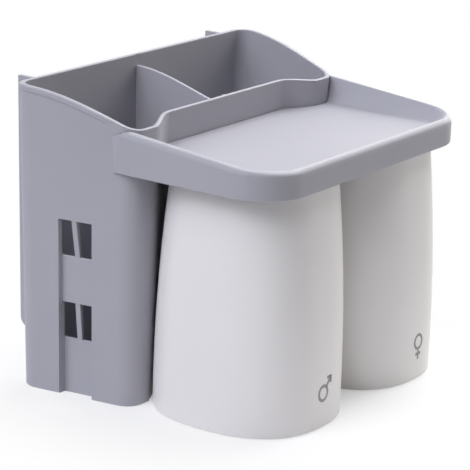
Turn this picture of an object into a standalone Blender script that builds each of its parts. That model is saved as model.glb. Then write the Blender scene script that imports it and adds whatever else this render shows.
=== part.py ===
"""Toothbrush holder: a moulded box with two compartments and a front tray that two oval cups hang under.

Metres. +X to the right, +Y to the wall behind, +Z up. The base stands on z = 0, and the
origin is the middle of the footprint. Within the script, y is counted from the cups' centre line.
"""
import bpy
import bmesh
from math import atan, cos, pi, sin, sqrt
from mathutils import Matrix, Vector

# Fits
GAP = 0.0003                   # clearance between two pieces that seat on each other
TABLE_GAP = 0.0004             # height of the cups' mouths over the base plane
CUP_SPACING = 0.0042           # between the two mouths
POCKET_CLEARANCE = 0.0023      # from a cup's mouth to the set-back wall of the box
SKIRT_CLEARANCE = 0.0015       # from a cup's base to the tray's skirt

# Cups, hung mouth down
CUP_HEIGHT = 0.1002
MOUTH_HALF_X = 0.0341
MOUTH_HALF_Y = 0.0377
BASE_HALF_X = 0.0291
BASE_HALF_Y = 0.0316
MOUTH_SQUARENESS = 2.45        # superellipse exponents
BASE_SQUARENESS = 2.80
CUP_WALL = 0.0018
CUP_BASE_ROUND = 0.0026

# Discs and caps: the tray's over the cups', with their thicknesses
TRAY_MAGNET_RADIUS = 0.0100
TRAY_MAGNET_THICKNESS = 0.0016
TRAY_CAP_THICKNESS = 0.0010
RING_WALL = 0.0018             # wall of the ring that holds them under the tray
CUP_DISC_RADIUS = 0.0115
CUP_DISC_THICKNESS = 0.0011
CUP_CAP_THICKNESS = 0.0011

# Box: outline, seen from above
BOX_HALF_WIDTH = 0.0731        # side wall's outer face at the columns' front, at the rim
SIDE_SPLAY = 0.148             # how much further out the side walls run for each unit to the back
BOX_DEPTH = 0.0502             # from the set-back front wall to the back, at the rim
COLUMN_STEP = 0.0074           # how far the corner columns stand forward of that wall
COLUMN_WIDTH = 0.0160
COLUMN_RADIUS = 0.0080
JOG_WIDTH = 0.0125             # width of the S-curve between column and set-back wall
BACK_RADIUS = 0.0077
BOX_WALL = 0.0022
BOX_FLOOR = 0.0022
SIDE_DRAFT = 0.0036            # how much narrower each side is at the base
FRONT_DRAFT = 0.0012
BACK_DRAFT = 0.0018
EDGE_ROUND = 0.0006            # rounding of the moulded edges

# Box: the rim, which rises from the columns to the back
COLUMN_RIM_RISE = 0.0114       # from the tray's floor to the rim over the columns
FRONT_RIM_RISE = 0.0131        # and to the middle of the front wall's rim
SHOULDER_RISE = 0.0124         # from the columns' rim to the back wall's
SHOULDER_SETBACK = 0.0035      # from the back to where the side rim is as high
SHOULDER_POWER = 1.08          # how early the side rim swells

# Bead along the outside of the rim, from seam to seam round the back
BEAD_HEIGHT = 0.0024
BEAD_PROUD = 0.0005
BEAD_ROOT = 0.0010             # how deep it is rooted in the wall
BEAD_DROP = 0.0003             # its top lies this much under the rim
BEAD_TIP = ((0.4, 0.8), (0.6, 0.4))  # sections of its rounded end: how far forward in a step, and size

# Stepped recess in each side, with two slatted windows
RECESS_SETBACK = 0.0199        # behind the columns' front
RECESS_WIDTH = 0.0155
RECESS_PANEL = 0.0014          # thickness of the recess's floor and cheeks
LOWER_SILL = 0.0240
UPPER_SILL = 0.0600
WINDOW_HEIGHT = 0.0162
UPPER_DEPTH = 0.0024           # depth of the recess from the upper window's head down
LOWER_DEPTH = 0.0038           # and from the lower window's head down
PANEL_RISE = 0.0005            # how far the panels' roots reach up beside the windows
SLAT_SETBACK = 0.0073          # from the recess's front to the slat
SLAT_WIDTH = 0.0022
SLAT_HEAD = 0.0018             # thickness of the slat at the window's head
SLAT_FOOT = 0.0010             # and at its sill
SLAT_SINK = 0.0002             # how far its face lies behind the faces that it joins
SLAT_ROOT = 0.0012             # how far it runs on into them

# Two rails behind the back wall, and the hooks between them
RAIL_REACH = 0.0084            # from the back wall to the wall of the room
RAIL_INSET = 0.0075            # from the box's half width to the rail's middle, at the rim
RAIL_THICKNESS = 0.0020
RAIL_FOOT = 0.0200
RAIL_ROUND = 0.0045
RAIL_DROP = 0.0005             # under the back rim
HOOK_X = 0.0340
HOOK_WIDTH = 0.0260
HOOK_DEPTH = 0.0211            # under the back rim
HOOK_THICKNESS = 0.0020
HOOK_SETBACK = 0.0016          # from the rails' plane to the hook's lip
HOOK_DROP = 0.0085             # how far the lip hangs

# Drain slots
SLOT_WIDTH = 0.0035
SLOT_LENGTH = 0.0260
SLOT_PITCH = 0.0120
SLOTS_PER_SIDE = 4

# Divider
DIVIDER_THICKNESS = 0.0018
DIVIDER_BACK_DROP = 0.0049     # under the back rim
DIVIDER_FRONT_DROP = 0.0043    # under the front rim
DIVIDER_POWER = 1.25           # shape of the arc along its top
GROOVE_DEPTH = 0.0009

# Front tray
TRAY_RADIUS = 0.0160
TRAY_FLOOR_THICKNESS = 0.0019
SKIRT_WALL = 0.0019
SKIRT_LAP = 0.0009             # how far the skirt hides the cups' bases
SEAM_WRAP = 0.0089             # how far the skirt reaches back past the columns' front
LIP_HEIGHT = 0.0050            # over the tray's floor, along the front
LIP_SLOPE = 0.087              # its rise for each unit towards the box
LIP_EDGE = 0.0034              # width of the lip's rounded top
LIP_FOOT = 0.0086              # from the outer face to where the floor begins
LIP_CREST = ((0.0, 0.45), (0.13, 0.13), (0.45, 0.0), (0.7, 0.0), (1.0, 0.18))  # (inset, drop) by LIP_EDGE
LIP_COVE = (0.45, 0.25)        # (before the floor, over it) by LIP_EDGE: end of the slope inside
LIP_HOLLOW = 0.7               # depth of the hollow's roof under the lip's top, by LIP_EDGE
SKIRT_ROUND = 0.0004

# Tongues and ledge that hold the tray on the box
TONGUE_X = 0.0220
TONGUE_WIDTH = 0.0120
TONGUE_THICKNESS = 0.0013
TONGUE_REACH = 0.0012          # how far it passes the front wall
LEDGE_HALF_WIDTH = 0.0300
LEDGE_REACH = 0.0030
LEDGE_THICKNESS = 0.0024

# Fineness of the curves
CORNER_STEPS = 9
JOG_STEPS = 8
SIDE_STEPS = 10
CUP_STEPS = 56
CUP_LEVELS = 7
BASE_STEPS = 3
DISC_STEPS = 40

# Places that follow from the sizes
CUP_MOUTH = TABLE_GAP
CUP_TOP = CUP_MOUTH + CUP_HEIGHT
CUP_X = MOUTH_HALF_X + CUP_SPACING / 2

POCKET_FRONT = MOUTH_HALF_Y + POCKET_CLEARANCE
COLUMN_FRONT = POCKET_FRONT - COLUMN_STEP
BOX_BACK = POCKET_FRONT + BOX_DEPTH
JOG_OUTER = BOX_HALF_WIDTH - COLUMN_WIDTH
JOG_INNER = JOG_OUTER - JOG_WIDTH
SIDE_TURN = atan(SIDE_SPLAY) * 2 / pi  # the side walls' angle from straight back, in quarter turns
SIDE_STRETCH = sqrt(1 + SIDE_SPLAY ** 2)

TRAY_UNDERSIDE = CUP_TOP + TRAY_CAP_THICKNESS + TRAY_MAGNET_THICKNESS + 3 * GAP
TRAY_FLOOR = TRAY_UNDERSIDE + TRAY_FLOOR_THICKNESS
TRAY_HALF_WIDTH = BOX_HALF_WIDTH + SIDE_SPLAY * SEAM_WRAP + BEAD_PROUD
TRAY_FRONT = -(BASE_HALF_Y + SKIRT_CLEARANCE + SKIRT_WALL)
TRAY_SEAM = COLUMN_FRONT + SEAM_WRAP
SKIRT_BOTTOM = CUP_TOP - SKIRT_LAP
LIP_FRONT = TRAY_FLOOR + LIP_HEIGHT

COLUMN_RIM = TRAY_FLOOR + COLUMN_RIM_RISE
FRONT_RIM = TRAY_FLOOR + FRONT_RIM_RISE
BACK_RIM = COLUMN_RIM + SHOULDER_RISE
SHOULDER_Y = BOX_BACK - SHOULDER_SETBACK
DIVIDER_BACK_TOP = BACK_RIM - DIVIDER_BACK_DROP
DIVIDER_FRONT_TOP = FRONT_RIM - DIVIDER_FRONT_DROP

RECESS_FRONT = COLUMN_FRONT + RECESS_SETBACK
RECESS_BACK = RECESS_FRONT + RECESS_WIDTH
SLAT_FRONT = RECESS_FRONT + SLAT_SETBACK
LOWER_HEAD = LOWER_SILL + WINDOW_HEIGHT
UPPER_HEAD = UPPER_SILL + WINDOW_HEIGHT

RAIL_X = BOX_HALF_WIDTH - RAIL_INSET
RAIL_BACK = BOX_BACK + RAIL_REACH
HOOK_TOP = BACK_RIM - HOOK_DEPTH
FOOTPRINT_MIDDLE = (RAIL_BACK - max(MOUTH_HALF_Y, -TRAY_FRONT)) / 2


def clear_scene():
    for item in list(bpy.data.objects):
        bpy.data.objects.remove(item, do_unlink=True)


def new_collection(name, parent=None):
    group = bpy.data.collections.new(name)
    (parent or bpy.context.scene.collection).children.link(group)
    return group


def new_material(name, colour, roughness, metallic=0.0):
    material = bpy.data.materials.new(name)
    material.use_nodes = True
    shader = material.node_tree.nodes["Principled BSDF"]
    shader.inputs["Base Color"].default_value = (*colour, 1.0)
    shader.inputs["Roughness"].default_value = roughness
    shader.inputs["Metallic"].default_value = metallic
    material.diffuse_color = (*colour, 1.0)
    return material


def add_object(name, bm, group, material=None):
    """Makes an object of a bmesh. One without a material is a cutter, and stays hidden."""
    bmesh.ops.remove_doubles(bm, verts=bm.verts, dist=1e-7)
    bmesh.ops.recalc_face_normals(bm, faces=bm.faces)
    mesh = bpy.data.meshes.new(name)
    bm.to_mesh(mesh)
    bm.free()
    item = bpy.data.objects.new(name, mesh)
    group.objects.link(item)
    if material:
        mesh.materials.append(material)
        mesh.shade_smooth()
        mesh.set_sharp_from_angle(angle=pi / 6)
    else:
        item.hide_render = True
        item.display_type = "WIRE"
    return item


def add_plate(name, outlines, axis, low, high, group, material=None):
    """Flat outlines, drawn square to an axis and extruded from low to high along it."""
    curve = bpy.data.curves.new(name, "CURVE")
    curve.dimensions = "2D"
    curve.fill_mode = "BOTH"
    curve.extrude = (high - low) / 2
    for outline in outlines:
        spline = curve.splines.new("POLY")
        spline.points.add(len(outline) - 1)
        for point, (across, along) in zip(spline.points, outline):
            point.co = (across, along, 0.0, 1.0)
        spline.use_cyclic_u = True
    drawn = bpy.data.objects.new(name + "_outline", curve)
    drawn.rotation_euler = {"X": (pi / 2, 0.0, pi / 2), "Y": (pi / 2, 0.0, 0.0), "Z": (0.0, 0.0, 0.0)}[axis]
    drawn.location["XYZ".index(axis)] = (low + high) / 2
    group.objects.link(drawn)
    bpy.context.view_layer.update()
    filled = bpy.data.meshes.new_from_object(drawn.evaluated_get(bpy.context.evaluated_depsgraph_get()))
    bm = bmesh.new()
    bm.from_mesh(filled)
    plate = add_object(name, bm, group, material)
    plate.matrix_world = drawn.matrix_world
    bpy.data.objects.remove(drawn)
    return plate


def loft(bm, rings, closed=True, caps=(True, True)):
    """Faces from ring to ring, which turn flat by triangles where four corners don't lie in a plane."""
    rows = [[bm.verts.new(point) for point in ring] for ring in rings]
    count = len(rows[0])
    for lower, upper in zip(rows, rows[1:]):
        for i in range(count if closed else count - 1):
            j = (i + 1) % count
            bm.faces.new((lower[i], lower[j], upper[j], upper[i]))
    bmesh.ops.connect_verts_nonplanar(bm, angle_limit=1e-4, faces=bm.faces)
    for row, capped in zip((rows[0], rows[-1]), caps):
        if capped:
            bm.faces.new(row)


def block(bm, low, high):
    made = bmesh.ops.create_cube(bm, size=1.0)
    bmesh.ops.scale(bm, vec=Vector(high) - Vector(low), verts=made["verts"])
    bmesh.ops.translate(bm, vec=(Vector(low) + Vector(high)) / 2, verts=made["verts"])


def disc(bm, radius, low, high):
    made = bmesh.ops.create_cone(bm, cap_ends=True, segments=DISC_STEPS, radius1=radius,
                                 radius2=radius, depth=high - low)
    bmesh.ops.translate(bm, vec=(0.0, 0.0, (low + high) / 2), verts=made["verts"])


def arc(centre_x, centre_y, radius, start, end):
    """Points on an arc; start and end are in quarter turns."""
    steps = round(CORNER_STEPS * abs(end - start))
    angles = [(start + (end - start) * i / steps) * pi / 2 for i in range(steps + 1)]
    return [(centre_x + radius * cos(a), centre_y + radius * sin(a)) for a in angles]


def mirror(item, origin):
    modifier = item.modifiers.new("Halves", "MIRROR")
    modifier.mirror_object = origin
    modifier.merge_threshold = 0.00001


def thicken(item, thickness, offset):
    modifier = item.modifiers.new("Wall", "SOLIDIFY")
    modifier.solidify_mode = "NON_MANIFOLD"
    modifier.nonmanifold_thickness_mode = "CONSTRAINTS"
    modifier.thickness = thickness
    modifier.offset = offset


def slide(item, axis, amount, start):
    """Leans an object sideways: each point moves in x by amount for each unit of an axis from start."""
    lean = Matrix.Identity(4)
    lean[0]["XYZ".index(axis)] = amount
    lean[0][3] = -amount * start
    item.data.transform(item.matrix_world.inverted() @ lean @ item.matrix_world)


def round_edges(item):
    modifier = item.modifiers.new("Edges", "BEVEL")
    modifier.width = EDGE_ROUND
    modifier.segments = 2
    modifier.limit_method = "ANGLE"
    modifier.angle_limit = pi / 3


def combine(target, tools, operation):
    """Joins everything in the collection tools to target, or cuts it away."""
    modifier = target.modifiers.new(operation.title(), "BOOLEAN")
    modifier.operation = operation
    modifier.solver = "EXACT"
    modifier.operand_type = "COLLECTION"
    modifier.collection = tools


# Box

def side_face(z):
    """Outer face of the side wall at the columns' front."""
    return BOX_HALF_WIDTH - SIDE_DRAFT * (1 - z / BACK_RIM)


def front_face(z):
    return POCKET_FRONT + FRONT_DRAFT * (1 - z / BACK_RIM)


def back_face(z):
    return BOX_BACK - BACK_DRAFT * (1 - z / BACK_RIM)


def side_arc(z, centre_y, radius, start, end):
    """Arc of the outline that touches the splayed side wall."""
    centre_x = side_face(z) + SIDE_SPLAY * (centre_y - COLUMN_FRONT) - SIDE_STRETCH * radius
    return arc(centre_x, centre_y, radius, start, end)


def half_outline(z):
    """Right half of the outline at height z, from the middle of the front to the middle of the back."""
    front, back = front_face(z), back_face(z)
    points = [(0.0, front)]
    for i in range(JOG_STEPS + 1):
        t = i / JOG_STEPS
        points.append((JOG_INNER + JOG_WIDTH * t, front - COLUMN_STEP * (1 - cos(pi * t)) / 2))
    points += side_arc(z, front - COLUMN_STEP + COLUMN_RADIUS, COLUMN_RADIUS, -1, -SIDE_TURN)
    corner = side_arc(z, back - BACK_RADIUS, BACK_RADIUS, -SIDE_TURN, 1)
    start, end = Vector(points[-1]), Vector(corner[0])
    points += [start.lerp(end, i / SIDE_STEPS) for i in range(1, SIDE_STEPS)]
    return points + corner + [(0.0, back)]


def move_out(points, distance):
    """Half outline with each of its edges moved out by distance; its ends stay on the middle plane."""
    normals = [Vector((b[1] - a[1], a[0] - b[0])).normalized() for a, b in zip(points, points[1:])]
    moved = []
    for point, before, after in zip(points, normals[:1] + normals, normals + normals[-1:]):
        moved.append(Vector(point) + (before + after) * distance / (1 + before.dot(after)))
    return moved


def rim_height(index, point):
    """Height of the rim at a point of the half outline."""
    x, y = point
    if index <= JOG_STEPS + 1:
        t = min(max((x - JOG_INNER) / JOG_WIDTH, 0.0), 1.0)
        return FRONT_RIM + (COLUMN_RIM - FRONT_RIM) * (1 - cos(pi * t)) / 2
    t = min(max((y - COLUMN_FRONT) / (SHOULDER_Y - COLUMN_FRONT), 0.0), 1.0)
    return COLUMN_RIM + (BACK_RIM - COLUMN_RIM) * sin(pi / 2 * t ** SHOULDER_POWER)


def half_ring(height, grow=0.0):
    """Half outline in space; height turns the rim's height at each point into the ring's own."""
    ring = []
    for i, point in enumerate(half_outline(BACK_RIM)):
        z = height(rim_height(i, point))
        ring.append(Vector((*move_out(half_outline(z), grow)[i], z)))
    return ring


def add_bead(group, origin):
    """Bead under the rim, behind the tray's seam, with a rounded end.

    Its corners lie between the wall's, so that no edge of one runs along an edge of the other.
    """
    section = [(-BEAD_ROOT, BEAD_HEIGHT), (BEAD_PROUD / 2, BEAD_HEIGHT),
               (BEAD_PROUD, BEAD_HEIGHT - BEAD_PROUD), (BEAD_PROUD, BEAD_DROP + BEAD_PROUD),
               (BEAD_PROUD / 3, BEAD_DROP), (-BEAD_ROOT, BEAD_DROP)]
    rings = [half_ring(lambda rim, drop=drop: rim - drop, grow) for grow, drop in section]
    rings = [[a.lerp(b, 0.5) for a, b in zip(ring, ring[1:])] + ring[-1:] for ring in rings]
    start = next(i for i, point in enumerate(rings[0]) if point.y > TRAY_SEAM + BEAD_HEIGHT)
    sections = [[ring[i] for ring in rings] for i in range(start, len(rings[0]))]
    for reach, size in BEAD_TIP:
        points = [ring[start].lerp(ring[start - 1], reach) for ring in rings]
        middle = (points[0] + points[-1]) / 2
        sections.insert(0, [middle + (point - middle) * size for point in points])
    bm = bmesh.new()
    loft(bm, sections, caps=(True, False))
    mirror(add_object("bead", bm, group), origin)


def add_recess_backing(group, origin):
    """Panels behind the recess, one step further in under the lower window, rooted in wall and floor."""
    foot = BOX_FLOOR / 2
    step, top = LOWER_SILL + PANEL_RISE, UPPER_SILL + PANEL_RISE
    outline = [(side_face(z) - depth, z) for z, depth in (
        (foot, BOX_WALL / 2), (foot, LOWER_DEPTH + RECESS_PANEL), (step, LOWER_DEPTH + RECESS_PANEL),
        (step, UPPER_DEPTH + RECESS_PANEL), (top, UPPER_DEPTH + RECESS_PANEL), (top, BOX_WALL / 2))]
    backing = add_plate("recess_backing", [outline], "Y", RECESS_FRONT - RECESS_PANEL,
                        RECESS_BACK + RECESS_PANEL, group)
    slide(backing, "Y", SIDE_SPLAY, COLUMN_FRONT)
    round_edges(backing)
    mirror(backing, origin)


def add_recess_cutter(group, origin):
    """Space of the stepped recess, open to the side and at the base, and through at both windows."""
    outside = side_face(UPPER_HEAD) + BOX_WALL
    inside = side_face(0.0) - LOWER_DEPTH - 2 * RECESS_PANEL
    outline = [(outside, -BOX_FLOOR)]
    outline += [(side_face(z) - LOWER_DEPTH, z) for z in (-BOX_FLOOR, LOWER_SILL)]
    outline += [(inside, LOWER_SILL), (inside, LOWER_HEAD)]
    outline += [(side_face(z) - UPPER_DEPTH, z) for z in (LOWER_HEAD, UPPER_SILL)]
    outline += [(inside, UPPER_SILL), (inside, UPPER_HEAD), (outside, UPPER_HEAD)]
    space = add_plate("recess_space", [outline], "Y", RECESS_FRONT, RECESS_BACK, group)
    slide(space, "Y", SIDE_SPLAY, COLUMN_FRONT)
    mirror(space, origin)


def add_slats(group, origin):
    """Upright slat in each window, which slopes in from the face over the window to the one under it."""
    outlines = []
    windows = ((LOWER_SILL, LOWER_HEAD, UPPER_DEPTH, LOWER_DEPTH), (UPPER_SILL, UPPER_HEAD, 0.0, UPPER_DEPTH))
    for sill, head, depth_over, depth_under in windows:
        over = side_face(head) - depth_over - SLAT_SINK
        under = side_face(sill) - depth_under - SLAT_SINK
        run_on = (over - under) * SLAT_ROOT / (head - sill)
        low, high = under - run_on, over + run_on
        foot, top = sill - SLAT_ROOT, head + SLAT_ROOT
        outlines.append([(low, foot), (high, top), (high - SLAT_HEAD, top), (low - SLAT_FOOT, foot)])
    slats = add_plate("slats", outlines, "Y", SLAT_FRONT, SLAT_FRONT + SLAT_WIDTH, group)
    slide(slats, "Y", SIDE_SPLAY, COLUMN_FRONT)
    mirror(slats, origin)


def add_rails(group, origin):
    """Upright rails behind the back wall, with their lower back corners rounded."""
    root = BOX_WALL / 2
    top = BACK_RIM - RAIL_DROP
    outline = [(back_face(top) - root, top), (back_face(RAIL_FOOT) - root, RAIL_FOOT)]
    outline += arc(RAIL_BACK - RAIL_ROUND, RAIL_FOOT + RAIL_ROUND, RAIL_ROUND, -1, 0)
    outline.append((RAIL_BACK, top))
    half = RAIL_THICKNESS / 2
    rails = add_plate("rails", [outline], "X", RAIL_X - half, RAIL_X + half, group)
    slide(rails, "Z", SIDE_DRAFT / BACK_RIM, BACK_RIM)
    round_edges(rails)
    mirror(rails, origin)


def add_hooks(group, origin):
    """Hooks that drop over the edge of the plate on the wall."""
    root = back_face(HOOK_TOP) - BOX_WALL / 2
    lip = RAIL_BACK - HOOK_SETBACK
    shelf = HOOK_TOP - HOOK_THICKNESS
    foot = HOOK_TOP - HOOK_DROP
    outline = [(root, HOOK_TOP), (root, shelf), (lip - HOOK_THICKNESS, shelf),
               (lip - HOOK_THICKNESS, foot), (lip, foot), (lip, HOOK_TOP)]
    hooks = add_plate("hooks", [outline], "X", HOOK_X - HOOK_WIDTH / 2, HOOK_X + HOOK_WIDTH / 2, group)
    round_edges(hooks)
    mirror(hooks, origin)


def add_drain_slots(group, origin):
    """Row of round-ended slots in the floor of each compartment."""
    middle_x = (DIVIDER_THICKNESS / 2 + side_face(0.0) - LOWER_DEPTH - RECESS_PANEL) / 2
    middle_y = (POCKET_FRONT + BOX_BACK) / 2
    radius = SLOT_WIDTH / 2
    run = SLOT_LENGTH / 2 - radius
    outlines = []
    for i in range(SLOTS_PER_SIDE):
        x = middle_x + (i - (SLOTS_PER_SIDE - 1) / 2) * SLOT_PITCH
        outlines.append(arc(x, middle_y + run, radius, 0, 2) + arc(x, middle_y - run, radius, 2, 4))
    mirror(add_plate("drain_slots", outlines, "Z", -BOX_FLOOR, 2 * BOX_FLOOR, group), origin)


def tongue(bm, slack):
    """Right tongue of the tray, or with slack its slot in the box's front wall."""
    half = TONGUE_WIDTH / 2 + slack
    low = (TRAY_FLOOR + TRAY_UNDERSIDE - TONGUE_THICKNESS) / 2 - slack
    start = POCKET_FRONT - 2 * BOX_WALL
    end = front_face(low) + BOX_WALL + TONGUE_REACH + slack
    block(bm, (TONGUE_X - half, start, low), (TONGUE_X + half, end, low + TONGUE_THICKNESS + 2 * slack))


def build_box(parts, cutters, origin, material):
    middle = -BOX_WALL / 2
    bm = bmesh.new()
    loft(bm, [half_ring(lambda rim: BOX_WALL / 2, middle), half_ring(lambda rim: rim, middle)],
         closed=False, caps=(True, False))
    box = add_object("holder_body", bm, parts, material)
    mirror(box, origin)
    thicken(box, BOX_WALL, 0.0)
    round_edges(box)

    added = new_collection("box_additions", cutters)
    add_bead(added, origin)
    add_recess_backing(added, origin)
    add_rails(added, origin)
    add_hooks(added, origin)
    bm = bmesh.new()
    ledge_top = TRAY_UNDERSIDE - GAP
    block(bm, (-LEDGE_HALF_WIDTH, POCKET_FRONT - LEDGE_REACH, ledge_top - LEDGE_THICKNESS),
          (LEDGE_HALF_WIDTH, front_face(ledge_top) + BOX_WALL / 2, ledge_top))
    round_edges(add_object("ledge", bm, added))
    combine(box, added, "UNION")

    cut = new_collection("box_cuts", cutters)
    add_recess_cutter(cut, origin)
    add_drain_slots(cut, origin)
    bm = bmesh.new()
    tongue(bm, GAP)
    mirror(add_object("tongue_slots", bm, cut), origin)
    half = DIVIDER_THICKNESS / 2 + GAP
    add_plate("divider_groove", [divider_outline(GROOVE_DEPTH, BACK_RIM)], "X", -half, half, cut)
    combine(box, cut, "DIFFERENCE")

    slats = new_collection("window_slats", cutters)
    add_slats(slats, origin)
    combine(box, slats, "UNION")
    return box


# Divider

def divider_top(y):
    """Height of the divider's top edge, an arc that falls towards the front."""
    front = POCKET_FRONT + BOX_WALL
    back = BOX_BACK - BOX_WALL
    t = min(max((y - front) / (back - front), 0.0), 1.0)
    return DIVIDER_FRONT_TOP + (DIVIDER_BACK_TOP - DIVIDER_FRONT_TOP) * sin(pi / 2 * t ** DIVIDER_POWER)


def divider_outline(depth, lift=0.0):
    """Side view of the divider; depth is how far it enters the grooves, and lift raises its top."""
    foot = BOX_FLOOR - depth
    front = front_face(DIVIDER_FRONT_TOP + lift) + BOX_WALL - depth
    back = back_face(DIVIDER_BACK_TOP + lift) - BOX_WALL + depth
    outline = [(front_face(foot) + BOX_WALL - depth, foot), (back_face(foot) - BOX_WALL + depth, foot)]
    for i in range(SIDE_STEPS + 1):
        y = back + (front - back) * i / SIDE_STEPS
        outline.append((y, divider_top(y) + lift))
    return outline


def build_divider(parts, material):
    half = DIVIDER_THICKNESS / 2
    divider = add_plate("divider", [divider_outline(GROOVE_DEPTH - GAP)], "X", -half, half, parts, material)
    round_edges(divider)
    return divider


# Tray

def lip_top(y):
    return LIP_FRONT + LIP_SLOPE * (y - TRAY_FRONT)


def tray_ring(inset, level):
    """Right half of a ring round the tray; level is a height, or a function of y."""
    half = TRAY_HALF_WIDTH - inset
    front = TRAY_FRONT + inset
    radius = TRAY_RADIUS - inset
    rear = TRAY_SEAM + TRAY_RADIUS
    outline = [(0.0, front)] + arc(half - radius, front + radius, radius, -1, 0) + [(half, rear), (0.0, rear)]
    return [Vector((x, y, level(y) if callable(level) else level)) for x, y in outline]


def add_magnet_ring(side, group, origin):
    """Turned ring under the tray that holds one magnet; its profile runs down the outer side."""
    inner = TRAY_MAGNET_RADIUS + GAP
    outer = inner + RING_WALL
    low, high = CUP_TOP + GAP, TRAY_UNDERSIDE + GAP
    bm = bmesh.new()
    profile = ((outer, high), (outer, low), (inner, low), (inner, high))
    corners = [bm.verts.new((x, 0.0, z)) for x, z in profile]
    for start, end in zip(corners, corners[1:] + corners[:1]):
        bm.edges.new((start, end))
    ring = add_object("magnet_ring", bm, group)
    ring.location = (side * CUP_X, 0.0, 0.0)
    ring.parent = origin
    turned = ring.modifiers.new("Turned", "SCREW")
    turned.steps = DISC_STEPS
    turned.render_steps = DISC_STEPS
    turned.use_merge_vertices = True
    turned.merge_threshold = 0.00001


def build_tray(parts, cutters, origin, material):
    under_lip = [
        tray_ring(LIP_FOOT, TRAY_UNDERSIDE),
        tray_ring(LIP_FOOT - SKIRT_WALL, TRAY_UNDERSIDE),
        tray_ring(SKIRT_WALL, lambda y: lip_top(y) - LIP_HOLLOW * LIP_EDGE),
    ]
    skirt = [
        tray_ring(SKIRT_WALL, SKIRT_BOTTOM),
        tray_ring(SKIRT_ROUND, SKIRT_BOTTOM),
        tray_ring(0.0, SKIRT_BOTTOM + SKIRT_ROUND),
    ]
    crest = [tray_ring(inset * LIP_EDGE, lambda y, drop=drop: lip_top(y) - drop * LIP_EDGE)
             for inset, drop in LIP_CREST]
    floor = [
        tray_ring(LIP_FOOT - LIP_COVE[0] * LIP_EDGE, TRAY_FLOOR + LIP_COVE[1] * LIP_EDGE),
        tray_ring(LIP_FOOT, TRAY_FLOOR),
    ]
    bm = bmesh.new()
    loft(bm, under_lip + skirt + crest + floor, closed=False)
    tray = add_object("front_tray", bm, parts, material)
    mirror(tray, origin)

    cut = new_collection("tray_cuts", cutters)
    bm = bmesh.new()
    below, above = SKIRT_BOTTOM - BOX_WALL, BACK_RIM + BOX_WALL
    loft(bm, [half_ring(lambda rim: below, GAP), half_ring(lambda rim: above, GAP)], closed=False)
    mirror(add_object("box_clearance", bm, cut), origin)
    bm = bmesh.new()
    wide = TRAY_HALF_WIDTH + BOX_WALL
    block(bm, (-wide, TRAY_SEAM, below - BOX_WALL), (wide, BOX_BACK, above + BOX_WALL))
    add_object("seam_cutter", bm, cut)
    combine(tray, cut, "DIFFERENCE")

    added = new_collection("tray_additions", cutters)
    bm = bmesh.new()
    tongue(bm, 0.0)
    mirror(add_object("tongues", bm, added), origin)
    for side in (-1, 1):
        add_magnet_ring(side, added, origin)
    combine(tray, added, "UNION")
    return tray


# Cups

def cup_ring(z, inset=0.0):
    """Superellipse section of a cup, about its own axis."""
    t = (z - CUP_MOUTH) / CUP_HEIGHT
    swell = 1 - t * t
    half_x = BASE_HALF_X + (MOUTH_HALF_X - BASE_HALF_X) * swell - inset
    half_y = BASE_HALF_Y + (MOUTH_HALF_Y - BASE_HALF_Y) * swell - inset
    power = 2 / (MOUTH_SQUARENESS + (BASE_SQUARENESS - MOUTH_SQUARENESS) * t)
    ring = []
    for i in range(CUP_STEPS):
        c, s = cos(2 * pi * i / CUP_STEPS), sin(2 * pi * i / CUP_STEPS)
        x = half_x * (abs(c) ** power) * (1 if c >= 0 else -1)
        y = half_y * (abs(s) ** power) * (1 if s >= 0 else -1)
        ring.append(Vector((x, y, z)))
    return ring


def disc_seat():
    """Height of the floor of the disc's pocket in a cup's base."""
    return CUP_TOP - CUP_CAP_THICKNESS - CUP_DISC_THICKNESS - 2 * GAP


def build_cup(name, carrier, parts, cutters, material):
    """Cup as a shell, with a boss inside its base that holds the steel disc."""
    shoulder = CUP_TOP - CUP_BASE_ROUND
    rings = [cup_ring(CUP_MOUTH + (shoulder - CUP_MOUTH) * i / CUP_LEVELS) for i in range(CUP_LEVELS + 1)]
    for i in range(1, BASE_STEPS + 1):
        turn = i * pi / 2 / BASE_STEPS
        rings.append(cup_ring(shoulder + CUP_BASE_ROUND * sin(turn), CUP_BASE_ROUND * (1 - cos(turn))))
    bm = bmesh.new()
    loft(bm, rings, caps=(False, True))
    cup = add_object(name, bm, parts, material)
    cup.parent = carrier
    wall = cup.modifiers.new("Wall", "SOLIDIFY")
    wall.thickness = CUP_WALL
    wall.offset = -1.0
    wall.use_even_offset = True
    round_edges(cup)

    added = new_collection(name + "_additions", cutters)
    bm = bmesh.new()
    disc(bm, CUP_DISC_RADIUS + GAP + CUP_WALL, disc_seat() - CUP_WALL, CUP_TOP - CUP_WALL / 2)
    add_object(name + "_boss", bm, added).parent = carrier
    combine(cup, added, "UNION")
    cut = new_collection(name + "_cuts", cutters)
    bm = bmesh.new()
    disc(bm, CUP_DISC_RADIUS + GAP, disc_seat(), CUP_TOP + CUP_WALL)
    add_object(name + "_pocket", bm, cut).parent = carrier
    combine(cup, cut, "DIFFERENCE")


def build_disc(name, radius, low, thickness, carrier, parts, material):
    bm = bmesh.new()
    disc(bm, radius, low, low + thickness)
    add_object(name, bm, parts, material).parent = carrier


def add_empty(name, location, group, parent=None):
    item = bpy.data.objects.new(name, None)
    item.location = location
    item.parent = parent
    group.objects.link(item)
    return item


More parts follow.
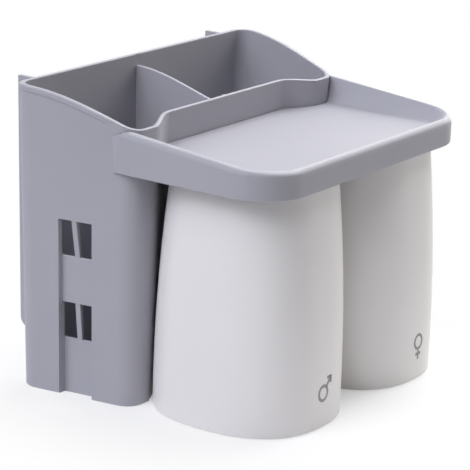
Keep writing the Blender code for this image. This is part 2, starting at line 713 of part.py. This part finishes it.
def build():
    clear_scene()
    parts = new_collection("toothbrush_holder")
    cutters = new_collection("cutters")
    grey = new_material("grey_plastic", (0.33, 0.33, 0.38), 0.42)
    white = new_material("white_plastic", (0.78, 0.77, 0.77), 0.35)
    nickel = new_material("magnet_nickel", (0.62, 0.62, 0.63), 0.25, 1.0)
    steel = new_material("disc_steel", (0.55, 0.55, 0.56), 0.3, 1.0)

    origin = add_empty("footprint_origin", (0.0, -FOOTPRINT_MIDDLE, 0.0), parts)
    build_box(parts, cutters, origin, grey)
    build_divider(parts, grey)
    build_tray(parts, cutters, origin, grey)
    for item in list(parts.objects) + list(cutters.all_objects):
        if item is not origin:
            item.parent = origin

    cap_low = CUP_TOP + GAP
    magnet_low = cap_low + TRAY_CAP_THICKNESS + GAP
    disc_low = disc_seat() + GAP
    base_cap_low = disc_low + CUP_DISC_THICKNESS + GAP
    for word, side in (("left", -1), ("right", 1)):
        place = (side * CUP_X, 0.0, 0.0)
        hanger = add_empty("hanger_" + word, place, parts, origin)
        build_disc("magnet_cap_" + word, TRAY_MAGNET_RADIUS, cap_low, TRAY_CAP_THICKNESS, hanger, parts, grey)
        build_disc("tray_magnet_" + word, TRAY_MAGNET_RADIUS, magnet_low, TRAY_MAGNET_THICKNESS,
                   hanger, parts, nickel)
        carrier = add_empty("cup_carrier_" + word, place, parts, origin)
        build_cup("cup_" + word, carrier, parts, cutters, white)
        build_disc("cup_disc_" + word, CUP_DISC_RADIUS, disc_low, CUP_DISC_THICKNESS, carrier, parts, steel)
        build_disc("cup_base_cap_" + word, CUP_DISC_RADIUS, base_cap_low, CUP_CAP_THICKNESS,
                   carrier, parts, white)


build()
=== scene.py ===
"""Looks of a toothbrush holder: a grey moulded box with a lipped tray, and two white cups hung under it.

Lengths are in metres and angles in degrees. Each moulding is a smooth copy of its solid in the frame, and is
reshaped a little where the real one is softer. Magnets, discs and their caps keep the frame's meshes.
"""
from math import atan2, copysign, cos, pi, radians, sin, sqrt

import bmesh
import bpy
from mathutils import Matrix, Vector


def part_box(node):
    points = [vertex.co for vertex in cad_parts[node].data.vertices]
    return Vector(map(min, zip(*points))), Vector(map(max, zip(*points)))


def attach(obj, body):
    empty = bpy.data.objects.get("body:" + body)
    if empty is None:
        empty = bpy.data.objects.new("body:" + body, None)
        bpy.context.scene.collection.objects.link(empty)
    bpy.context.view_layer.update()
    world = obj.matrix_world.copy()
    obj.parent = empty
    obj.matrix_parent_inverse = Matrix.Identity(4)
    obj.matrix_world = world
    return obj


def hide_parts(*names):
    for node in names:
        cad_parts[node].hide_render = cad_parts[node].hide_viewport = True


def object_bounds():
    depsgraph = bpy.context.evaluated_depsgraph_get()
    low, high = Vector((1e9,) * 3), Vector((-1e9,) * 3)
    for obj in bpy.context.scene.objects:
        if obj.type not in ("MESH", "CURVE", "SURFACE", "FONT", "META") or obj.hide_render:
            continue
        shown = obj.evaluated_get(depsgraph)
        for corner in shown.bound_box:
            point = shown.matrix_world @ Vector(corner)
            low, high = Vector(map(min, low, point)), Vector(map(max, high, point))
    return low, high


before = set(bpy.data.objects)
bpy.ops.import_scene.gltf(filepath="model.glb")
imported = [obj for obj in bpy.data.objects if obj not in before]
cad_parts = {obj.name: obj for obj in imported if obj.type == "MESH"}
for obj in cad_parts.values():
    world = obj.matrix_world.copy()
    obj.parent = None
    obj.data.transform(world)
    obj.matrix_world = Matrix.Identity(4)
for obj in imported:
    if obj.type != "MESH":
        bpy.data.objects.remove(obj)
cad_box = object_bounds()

scene = bpy.context.scene

# Camera, fitted to the photograph
CAMERA_PLACE = Vector((-0.731814, -0.499053, 0.322197))
CAMERA_AZIMUTH = -55.545
CAMERA_ELEVATION = 16.517
CAMERA_ROLL = 2.164
CAMERA_NEAREST = 0.05
CAMERA_FARTHEST = 20.0
FOCAL_PIXELS = 2166.6
PHOTO_PIXELS = 470
SENSOR_MM = 36.0

# Soft boxes: place, size, watts, colour
SOFT_BOXES = {
    "high_left": ((-0.8, 0.0, 1.1), (0.9, 0.9), 8.4, (0.98, 0.99, 1.05)),
    "left": ((-1.0, 0.4, 0.8), (0.8, 0.8), 5.3, (0.95, 0.98, 1.12)),
    "high_right": ((0.8, 0.0, 1.1), (0.9, 0.9), 14.0, (0.98, 1.00, 1.03)),
    "right": ((1.2, 0.1, 0.5), (0.9, 0.9), 6.0, (1.07, 0.99, 0.93)),
    "right_front": ((0.9, -0.9, 0.5), (0.8, 0.8), 2.6, (1.06, 1.00, 0.94)),
}
LAMP_TARGET = Vector((0.0, 0.0, 0.06))
EVEN_LIGHT = 0.02                # strength of the light from all round

# Floor: a share of plain white round its middle, which rises to all of it over the fade's distances
PLAIN_WHITE = (1.0, 1.0, 1.0, 1.0)
FLOOR_PAPER = (0.93, 0.93, 0.93, 1.0)
FLOOR_RADIUS = 0.36
FLOOR_CORNERS = 96
FLOOR_FADE = (0.02, 0.15)
FLOOR_LIFT = 0.25

# Plastics: linear colour, the tone that it clouds to, roughness, specular level, strength of the grain
PLASTICS = {
    "grey_plastic": ((0.430, 0.424, 0.466), (0.413, 0.409, 0.453), 0.45, 0.32, 0.10),
    "white_plastic": ((0.850, 0.826, 0.816), (0.836, 0.812, 0.802), 0.36, 0.5, 0.08),
    "grey_ink": ((0.340, 0.338, 0.330), (0.310, 0.308, 0.300), 0.50, 0.3, 0.05),
}
CLOUD_SCALE = 28.0
CLOUD_DETAIL = 3.0
CLOUD_STEPS = (0.3, 0.7)         # noise values at which the deep tone and the plain colour are reached
CLOUD_GLOSS = 0.03               # how far the clouds move the roughness either way
GRAIN_SCALE = 3200.0
GRAIN_DETAIL = 2.0
GRAIN_HEIGHT = 0.00005

# Metals: linear colour, roughness
METALS = {
    "magnet_nickel": ((0.62, 0.62, 0.63), 0.25),
    "disc_steel": ((0.55, 0.55, 0.56), 0.35),
}
BRUSH_SCALE = 400.0
BRUSH_GLOSS = 0.08

# Magnets and discs with their caps, one of each on each side, and their finishes
SMALL_PIECES = {
    "tray_magnet": "magnet_nickel",
    "magnet_cap": "grey_plastic",
    "cup_disc": "disc_steel",
    "cup_base_cap": "white_plastic",
}

# Meshes: merging and smoothing, and the slack in telling where a point lies
MERGE_DISTANCE = 1e-6
FLAT_ANGLE = 0.1
SMOOTH_ANGLE = 40.0
TRAY_SMOOTH_ANGLE = 60.0
EDGE_SLACK = 1e-5                # at the end of a zone
FACE_SLACK = 0.0001              # on a face
RING_SLACK = 0.0002              # beside a ring of the lip's crest
HEIGHT_SLACK = 0.0003            # over or under such a ring

# Tray: its outline, and the lip whose top rises towards the box
TRAY_LOW, TRAY_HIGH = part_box("front_tray")
TRAY_HALF_WIDTH = TRAY_HIGH[0]
TRAY_FRONT = TRAY_LOW[1]
SKIRT_BOTTOM = TRAY_LOW[2]
TRAY_SEAM = 0.01105              # y of the skirt's rear ends, on the box's side walls
TRAY_RADIUS = 0.0160             # of the solid's front corners
SOFT_RADIUS = 0.0205             # and of the moulding's
LIP_WIDTH = 0.0090               # from the outline to where the corners keep the solid's radius
LIP_FRONT_TOP = 0.1110
LIP_SLOPE = 0.087                # rise of the lip's top for each unit towards the box

# Rings along the lip's crest, from the outer one: inset from the outline, and drop under the lip's top in the
# solid and in the moulding, where bevels round the inner and the outer one
LIP_CREST = (
    (0.0, 0.00153, 0.0027),
    (0.00044, 0.00044, 0.00135),
    (0.00153, 0.0, 0.0003),
    (0.00238, 0.0, 0.0),
    (0.0034, 0.00061, 0.0002),
)
CREST_DEPTH = 0.0004             # how far under the outer ring a point may lie and move with the crest
INNER_ROUND = 0.0016             # width of the bevel
OUTER_ROUND = 0.0009
ROUND_SEGMENTS = 3

# Rear ends of the lip: they round down and taper to the box's side walls
END_CUTS = (0.0025, 0.0035, 0.0047)  # cuts before the seam, at which the round bends
END_RUN = 0.0060                 # length of the round
END_FALL = 0.0020                # how far it comes down
END_DEPTH = 0.0060               # under the lip's top, where the fall has faded out
END_INSET = 0.0015               # from the outline, as far as the taper reaches
END_FACE = (-0.0001, -0.0021)    # from the seam to the outer face's end, at the skirt's bottom and top
END_FLUSH = (0.0007, 0.0018)     # and to where the taper meets the wall
END_TOP = 0.1177                 # height at which the taper is fullest

# Box: front wall, and the S-curves between it and the corner columns, which are drawn out sideways
RIM_TOP = cad_box[1][2]
WALL_FRONT = 0.00955             # y of the wall's outer face at the rim
WALL_DRAFT = 0.0012              # how much further back it lies at the base
CURVE = (0.0446, 0.0571)         # x of the curve's ends in the solid
SOFT_CURVE = (0.0400, 0.0608)    # and in the moulding
CURVE_ZONE = (-0.0010, 0.0134)   # its foremost and rearmost y
CURVE_STEP = 0.0074              # how far the columns stand forward of the wall
CURVE_SKIN = 0.0012              # depth behind the outer face that tells the inner face apart
CURVE_THINNING = 0.0009          # how far the inner face comes forward in the middle of the curve

# Box: the divider's grooves in its front and back wall
GROOVE_REACH = 0.0016            # a little over half of a groove's width
GROOVE_DEPTH = 0.0009
GROOVE_SPREAD = 0.0003           # how much deeper some of its corners lie
GROOVE_CLOSING = 0.00086         # how far its floor comes up at the rim
GROOVE_LEVEL = 0.1100            # height over which it closes
INNER_FRONT = 0.01175            # y of the walls' inner faces
INNER_BACK = 0.05755

# Signs printed on the cups, all in x and z: the middle of each ring, and the sizes of ring and strokes
MALE_RING = Vector((-0.0366, 0.0150))
FEMALE_RING = Vector((0.0385, 0.0170))
RING_RADIUS = 0.0037
RING_CORNERS = 48
STROKE = 0.0013
STROKE_CUTS = 3
ARROW_TIP = Vector((0.0060, 0.0066))  # from the ring's middle
ARROW_SIDE = 0.0034
STEM_LENGTH = 0.0042
CROSS_HALF = 0.0021
CROSS_RISE = 0.0025              # from the stem's foot
SIGN_Y = -0.09                   # in front of the cups, where a sign is drawn before it is laid on
INK_LIFT = 0.00005
INK_THICKNESS = 0.00003


def only(piece):
    """Selects one object alone and makes it the active one."""
    bpy.ops.object.select_all(action="DESELECT")
    piece.select_set(True)
    bpy.context.view_layer.objects.active = piece


def apply_modifier(piece, modifier):
    only(piece)
    bpy.ops.object.modifier_apply(modifier=modifier.name)


def pick_edges(piece, wanted):
    """In edit mode, selects the edges that wanted says yes to."""
    bpy.ops.mesh.select_mode(type="EDGE")
    bpy.ops.mesh.select_all(action="DESELECT")
    mesh = bmesh.from_edit_mesh(piece.data)
    for edge in mesh.edges:
        edge.select = wanted(edge)
    bmesh.update_edit_mesh(piece.data)


def move_points(piece, move):
    """Lets move change the place of each point of a piece."""
    for vertex in piece.data.vertices:
        move(vertex.co)


def between(ends, share):
    """Value at a share of the way from the first of two ends to the other."""
    return ends[0] + share * (ends[1] - ends[0])


def add_camera():
    azimuth, elevation, roll = (radians(a) for a in (CAMERA_AZIMUTH, CAMERA_ELEVATION, CAMERA_ROLL))
    back = Vector((sin(azimuth) * cos(elevation), -cos(azimuth) * cos(elevation), sin(elevation)))
    level = Vector((cos(azimuth), sin(azimuth), 0.0))
    upright = back.cross(level)
    right = cos(roll) * level + sin(roll) * upright
    up = cos(roll) * upright - sin(roll) * level
    turn = Matrix((right, up, back)).transposed().to_4x4()
    data = bpy.data.cameras.new("photo_camera")
    data.sensor_width = SENSOR_MM
    data.lens = FOCAL_PIXELS * SENSOR_MM / PHOTO_PIXELS
    data.clip_start = CAMERA_NEAREST
    data.clip_end = CAMERA_FARTHEST
    camera = bpy.data.objects.new("photo_camera", data)
    camera.matrix_world = Matrix.Translation(CAMERA_PLACE) @ turn
    scene.collection.objects.link(camera)
    scene.camera = camera


def add_soft_box(name, place, size, watts, colour):
    data = bpy.data.lights.new(name, "AREA")
    data.shape = "RECTANGLE"
    data.size, data.size_y = size
    data.energy = watts
    data.color = colour
    lamp = bpy.data.objects.new(name, data)
    lamp.location = place
    lamp.rotation_euler = (LAMP_TARGET - Vector(place)).to_track_quat("-Z", "Y").to_euler()
    scene.collection.objects.link(lamp)


def add_node(tree, kind, **values):
    """Adds a shader node and sets its inputs; in their names, _ stands for a space."""
    node = tree.nodes.new("ShaderNode" + kind)
    for name, value in values.items():
        node.inputs[name.replace("_", " ")].default_value = value
    return node


def calculate(tree, operation, first, second):
    """Works out one value from two outputs."""
    step = add_node(tree, "Math")
    step.operation = operation
    tree.links.new(first, step.inputs[0])
    tree.links.new(second, step.inputs[1])
    return step.outputs["Value"]


def shown_directly(tree):
    """Gives 1 for what the camera sees, also in a reflection or through glass, and 0 for other light."""
    path = add_node(tree, "LightPath")
    reflected = calculate(tree, "MAXIMUM", path.outputs["Is Camera Ray"], path.outputs["Is Glossy Ray"])
    return calculate(tree, "MAXIMUM", reflected, path.outputs["Is Transmission Ray"])


def mix_into(output, tree, share, first, second):
    """Sends a mix of two shaders, with a share of the second, to an output."""
    mix = add_node(tree, "MixShader")
    tree.links.new(share, mix.inputs["Fac"])
    tree.links.new(first, mix.inputs[1])
    tree.links.new(second, mix.inputs[2])
    tree.links.new(mix.outputs["Shader"], output.inputs["Surface"])


def light_world():
    """White background, also in reflections, and a faint even light from all round."""
    world = bpy.data.worlds.new("studio")
    scene.world = world
    world.use_nodes = True
    tree = world.node_tree
    tree.nodes.clear()
    even = add_node(tree, "Background", Color=PLAIN_WHITE, Strength=EVEN_LIGHT)
    white = add_node(tree, "Background", Color=PLAIN_WHITE, Strength=1.0)
    output = add_node(tree, "OutputWorld")
    mix_into(output, tree, shown_directly(tree), even.outputs["Background"], white.outputs["Background"])


def floor_white():
    """Paper that keeps the object's shadow, and fades into the white background away from the middle."""
    material = bpy.data.materials.new("floor_white")
    material.use_nodes = True
    tree = material.node_tree
    tree.nodes.clear()
    place = add_node(tree, "TexCoord")
    distance = add_node(tree, "VectorMath")
    distance.operation = "LENGTH"
    tree.links.new(place.outputs["Object"], distance.inputs[0])
    fade = add_node(tree, "MapRange", From_Min=FLOOR_FADE[0], From_Max=FLOOR_FADE[1], To_Min=FLOOR_LIFT)
    fade.interpolation_type = "SMOOTHSTEP"
    tree.links.new(distance.outputs["Value"], fade.inputs["Value"])
    share = calculate(tree, "MULTIPLY", fade.outputs["Result"], shown_directly(tree))
    paper = add_node(tree, "BsdfDiffuse", Color=FLOOR_PAPER)
    white = add_node(tree, "Emission", Color=PLAIN_WHITE, Strength=1.0)
    output = add_node(tree, "OutputMaterial")
    mix_into(output, tree, share, paper.outputs["BSDF"], white.outputs["Emission"])
    return material


def add_floor():
    bpy.ops.object.select_all(action="DESELECT")
    bpy.ops.mesh.primitive_circle_add(vertices=FLOOR_CORNERS, radius=FLOOR_RADIUS, fill_type="NGON")
    floor = bpy.context.object
    floor.name = "floor"
    floor.data.materials.append(floor_white())


def new_material(name):
    material = bpy.data.materials.new(name)
    material.use_nodes = True
    tree = material.node_tree
    return material, tree, tree.nodes["Principled BSDF"]


def vary_roughness(tree, shader, noise, roughness, spread):
    """Lets a noise move the roughness by a spread either way."""
    gloss = add_node(tree, "MapRange", To_Min=roughness - spread, To_Max=roughness + spread)
    tree.links.new(noise.outputs["Fac"], gloss.inputs["Value"])
    tree.links.new(gloss.outputs["Result"], shader.inputs["Roughness"])


def moulded_plastic(name, colour, deep, roughness, gleam, grain):
    """Moulded plastic: faint clouds in its colour and gloss, and a fine spark-eroded grain."""
    material, tree, shader = new_material(name)
    place = add_node(tree, "TexCoord")

    cloud = add_node(tree, "TexNoise", Scale=CLOUD_SCALE, Detail=CLOUD_DETAIL)
    tree.links.new(place.outputs["Object"], cloud.inputs["Vector"])
    tint = add_node(tree, "ValToRGB")
    for stop, position, tone in zip(tint.color_ramp.elements, CLOUD_STEPS, (deep, colour)):
        stop.position = position
        stop.color = (*tone, 1.0)
    tree.links.new(cloud.outputs["Fac"], tint.inputs["Fac"])
    tree.links.new(tint.outputs["Color"], shader.inputs["Base Color"])
    vary_roughness(tree, shader, cloud, roughness, CLOUD_GLOSS)
    shader.inputs["Specular IOR Level"].default_value = gleam

    speck = add_node(tree, "TexNoise", Scale=GRAIN_SCALE, Detail=GRAIN_DETAIL)
    tree.links.new(place.outputs["Object"], speck.inputs["Vector"])
    bump = add_node(tree, "Bump", Strength=grain, Distance=GRAIN_HEIGHT)
    tree.links.new(speck.outputs["Fac"], bump.inputs["Height"])
    tree.links.new(bump.outputs["Normal"], shader.inputs["Normal"])
    return material


def plain_metal(name, colour, roughness):
    """Bare metal whose gloss varies finely."""
    material, tree, shader = new_material(name)
    shader.inputs["Metallic"].default_value = 1.0
    shader.inputs["Base Color"].default_value = (*colour, 1.0)
    place = add_node(tree, "TexCoord")
    brush = add_node(tree, "TexNoise", Scale=BRUSH_SCALE)
    tree.links.new(place.outputs["Object"], brush.inputs["Vector"])
    vary_roughness(tree, shader, brush, roughness, BRUSH_GLOSS)
    return material


def wear(piece, finish):
    """Gives a piece its finish and takes any other away."""
    piece.data.materials.clear()
    piece.data.materials.append(finishes[finish])


def merged_copy(node):
    """Copy of a node's solid, which is loose triangles: merged, its flat faces made whole again."""
    piece = bpy.data.objects.new(node + "_moulding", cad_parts[node].data.copy())
    scene.collection.objects.link(piece)
    only(piece)
    bpy.ops.mesh.customdata_custom_splitnormals_clear()
    bpy.ops.object.mode_set(mode="EDIT")
    bpy.ops.mesh.select_all(action="SELECT")
    bpy.ops.mesh.remove_doubles(threshold=MERGE_DISTANCE)
    bpy.ops.mesh.dissolve_limited(angle_limit=radians(FLAT_ANGLE))
    bpy.ops.object.mode_set(mode="OBJECT")
    return piece


def finish_moulding(piece, node, body, finish, angle=SMOOTH_ANGLE):
    """Shades curved walls smooth and flat ones flat, and puts the piece in its node's place."""
    only(piece)
    bpy.ops.object.shade_smooth_by_angle(angle=radians(angle))
    even_faces = piece.modifiers.new("even_faces", "WEIGHTED_NORMAL")
    even_faces.keep_sharp = True
    apply_modifier(piece, even_faces)
    wear(piece, finish)
    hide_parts(node)
    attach(piece, body)


def draw_out_curve(place):
    """Stretches the S-curve of the front wall sideways, and thins the wall along it."""
    reach = abs(place.x)
    within = CURVE[0] - EDGE_SLACK <= reach <= CURVE[1] + EDGE_SLACK
    if within and CURVE_ZONE[0] < place.y < CURVE_ZONE[1]:
        share = (reach - CURVE[0]) / (CURVE[1] - CURVE[0])
        place.x = copysign(between(SOFT_CURVE, share), place.x)
        face = WALL_FRONT + WALL_DRAFT * (1 - place.z / RIM_TOP) - CURVE_STEP * (1 - cos(pi * share)) / 2
        if place.y > face + CURVE_SKIN:
            place.y -= CURVE_THINNING * sin(pi * share)


def split_groove(piece):
    """Makes the grooves' faces triangles, which stay true when their corners move."""
    only(piece)
    bpy.ops.object.mode_set(mode="EDIT")
    bpy.ops.mesh.select_all(action="DESELECT")
    mesh = bmesh.from_edit_mesh(piece.data)
    for face in mesh.faces:
        face.select = all(abs(corner.co.x) < GROOVE_REACH for corner in face.verts)
    bmesh.update_edit_mesh(piece.data)
    bpy.ops.mesh.quads_convert_to_tris()
    bpy.ops.object.mode_set(mode="OBJECT")


def close_groove(place):
    """Brings a groove's floor up to the wall's face at the rim, where the divider doesn't fill it."""
    if abs(place.x) < GROOVE_REACH and place.z > GROOVE_LEVEL:
        for face, way in ((INNER_FRONT, -1), (INNER_BACK, 1)):
            depth = (place.y - face) * way
            if -FACE_SLACK < depth - GROOVE_DEPTH < GROOVE_SPREAD:
                place.y -= way * GROOVE_CLOSING


def mould_box():
    box = merged_copy("holder_body")
    split_groove(box)
    move_points(box, draw_out_curve)
    move_points(box, close_groove)
    finish_moulding(box, "holder_body", "holder", "grey_plastic")


def mould_divider():
    divider = merged_copy("divider")
    finish_moulding(divider, "divider", "holder", "grey_plastic")


def tray_inset(place, radius):
    """Distance of a place from the tray's outline, whose front corners have a radius, inwards."""
    across, along = TRAY_HALF_WIDTH - abs(place.x), place.y - TRAY_FRONT
    if across < radius and along < radius:
        return radius - Vector((radius - across, radius - along)).length
    return min(across, along)


def lip_top(place):
    """Height of the lip's top beside a place."""
    return LIP_FRONT_TOP + LIP_SLOPE * (place.y - TRAY_FRONT)


def widen_corner(place):
    """Gives the lip's front corners their softer radius."""
    across, along = TRAY_HALF_WIDTH - abs(place.x), place.y - TRAY_FRONT
    inset = tray_inset(place, TRAY_RADIUS)
    if across < TRAY_RADIUS + EDGE_SLACK and along < TRAY_RADIUS + EDGE_SLACK and inset < LIP_WIDTH:
        spoke = Vector((TRAY_RADIUS - across, TRAY_RADIUS - along)).normalized() * (SOFT_RADIUS - inset)
        place.x = copysign(TRAY_HALF_WIDTH - SOFT_RADIUS + spoke.x, place.x)
        place.y = TRAY_FRONT + SOFT_RADIUS - spoke.y


def soften_lip(place):
    """Widens the lip's crest, and rounds its rear ends down and tapers them to the wall."""
    inset = tray_inset(place, SOFT_RADIUS)
    drop = lip_top(place) - place.z
    if inset < LIP_CREST[-1][0] + FACE_SLACK and drop < LIP_CREST[0][1] + CREST_DEPTH:
        ring = min(LIP_CREST, key=lambda ring: abs(ring[0] - inset))
        place.z -= ring[2] - ring[1]

    share = min((place.y - TRAY_SEAM + END_RUN) / END_RUN, 1.0)
    if share > 0 and drop < END_DEPTH:
        place.z -= END_FALL * (1 - sqrt(1 - share ** 2)) * (1 - max(drop, 0.0) / END_DEPTH)

    if inset < END_INSET and place.y > TRAY_SEAM - FACE_SLACK:
        share = min(max((place.z - SKIRT_BOTTOM) / (END_TOP - SKIRT_BOTTOM), 0.0), 1.0)
        place.y += between(END_FACE if inset < FACE_SLACK else END_FLUSH, share)


def cut_rear_ends(tray):
    """Cuts the tray's faces across, so that the rear ends can bend there."""
    only(tray)
    bpy.ops.object.mode_set(mode="EDIT")
    for distance in END_CUTS:
        bpy.ops.mesh.select_all(action="SELECT")
        bpy.ops.mesh.bisect(plane_co=(0.0, TRAY_SEAM - distance, 0.0), plane_no=(0.0, 1.0, 0.0))
    bpy.ops.object.mode_set(mode="OBJECT")


def on_ring(place, inset, drop):
    """Says whether a place lies on a ring of the lip's crest, in front of the rear ends."""
    beside = abs(tray_inset(place, SOFT_RADIUS) - inset) < RING_SLACK
    level = abs(lip_top(place) - place.z - drop) < HEIGHT_SLACK
    return beside and level and place.y < TRAY_SEAM - END_RUN


def round_crest(tray):
    """Rounds the long edges on both sides of the lip's crest with wide bevels."""
    only(tray)
    bpy.ops.object.mode_set(mode="EDIT")
    for (inset, _, drop), width in ((LIP_CREST[-1], INNER_ROUND), (LIP_CREST[0], OUTER_ROUND)):
        pick_edges(tray, lambda edge: all(on_ring(corner.co, inset, drop) for corner in edge.verts))
        bpy.ops.mesh.bevel(offset=width, segments=ROUND_SEGMENTS, affect="EDGES", clamp_overlap=True)
    bpy.ops.object.mode_set(mode="OBJECT")


def mould_tray():
    tray = merged_copy("front_tray")
    cut_rear_ends(tray)
    move_points(tray, draw_out_curve)
    move_points(tray, widen_corner)
    move_points(tray, soften_lip)
    round_crest(tray)
    finish_moulding(tray, "front_tray", "holder", "grey_plastic", TRAY_SMOOTH_ANGLE)


def mould_cup(name):
    cup = merged_copy(name)
    finish_moulding(cup, name, name, "white_plastic")
    return cup


def finish_small_pieces():
    for side in ("left", "right"):
        for name, finish in SMALL_PIECES.items():
            wear(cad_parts[name + "_" + side], finish)


def ink_bar(start, end):
    """Flat stroke from start to end, cut into short lengths so that it can bend round a cup."""
    run = end - start
    middle = (start + end) / 2
    bpy.ops.object.select_all(action="DESELECT")
    bpy.ops.mesh.primitive_plane_add(size=1.0, location=(middle.x, SIGN_Y, middle.y),
                                     rotation=(pi / 2, -atan2(run.y, run.x), 0.0))
    bar = bpy.context.object
    bar.scale = (run.length, STROKE, 1.0)
    bpy.ops.object.mode_set(mode="EDIT")
    bpy.ops.mesh.subdivide(number_cuts=STROKE_CUTS)
    bpy.ops.object.mode_set(mode="OBJECT")
    return bar


def ink_ring(middle):
    """Flat ring: a disc with its inside inset and taken out."""
    bpy.ops.object.select_all(action="DESELECT")
    bpy.ops.mesh.primitive_circle_add(vertices=RING_CORNERS, radius=RING_RADIUS, fill_type="NGON",
                                      location=(middle.x, SIGN_Y, middle.y), rotation=(pi / 2, 0.0, 0.0))
    ring = bpy.context.object
    bpy.ops.object.mode_set(mode="EDIT")
    bpy.ops.mesh.inset(thickness=STROKE)
    bpy.ops.mesh.delete(type="FACE")
    bpy.ops.object.mode_set(mode="OBJECT")
    return ring


def print_sign(name, middle, strokes, cup, body):
    """Sign printed on a cup: ring and strokes joined, laid on the cup's front and given their thickness.

    Each stroke is its start and its end, from the ring's middle.
    """
    marks = [ink_ring(middle)]
    for start, end in strokes:
        marks.append(ink_bar(middle + Vector(start), middle + Vector(end)))
    for mark in marks:
        mark.select_set(True)
    bpy.context.view_layer.objects.active = marks[0]
    bpy.ops.object.join()
    sign = bpy.context.object
    sign.name = sign.data.name = name
    bpy.ops.object.transform_apply(location=True, rotation=True, scale=True)
    on_cup = sign.modifiers.new("on_cup", "SHRINKWRAP")
    on_cup.target = cup
    on_cup.wrap_method = "PROJECT"
    on_cup.use_project_y = True
    on_cup.offset = INK_LIFT
    apply_modifier(sign, on_cup)
    film = sign.modifiers.new("film", "SOLIDIFY")
    film.thickness = INK_THICKNESS
    apply_modifier(sign, film)
    wear(sign, "grey_ink")
    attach(sign, body)


def print_male_sign(cup):
    """Ring with an arrow up and to the right."""
    heading = ARROW_TIP.normalized()
    x, z = ARROW_TIP
    print_sign("male_sign", MALE_RING, [
        (heading * (RING_RADIUS - STROKE / 2), ARROW_TIP - heading * STROKE / 2),
        ((x - ARROW_SIDE, z - STROKE / 2), (x, z - STROKE / 2)),
        ((x - STROKE / 2, z - ARROW_SIDE), (x - STROKE / 2, z - STROKE)),
    ], cup, "cup_left")


def print_female_sign(cup):
    """Ring with a cross under it."""
    foot = -RING_RADIUS - STEM_LENGTH
    print_sign("female_sign", FEMALE_RING, [
        ((0.0, -RING_RADIUS + STROKE / 2), (0.0, foot)),
        ((-CROSS_HALF, foot + CROSS_RISE), (CROSS_HALF, foot + CROSS_RISE)),
    ], cup, "cup_right")


scene.view_settings.view_transform = "Standard"
add_camera()
light_world()
for lamp, setting in SOFT_BOXES.items():
    add_soft_box(lamp, *setting)
add_floor()

finishes = {name: moulded_plastic(name, *look) for name, look in PLASTICS.items()}
finishes.update({name: plain_metal(name, *look) for name, look in METALS.items()})

mould_box()
mould_divider()
mould_tray()
cup_left = mould_cup("cup_left")
cup_right = mould_cup("cup_right")
finish_small_pieces()
print_male_sign(cup_left)
print_female_sign(cup_right)
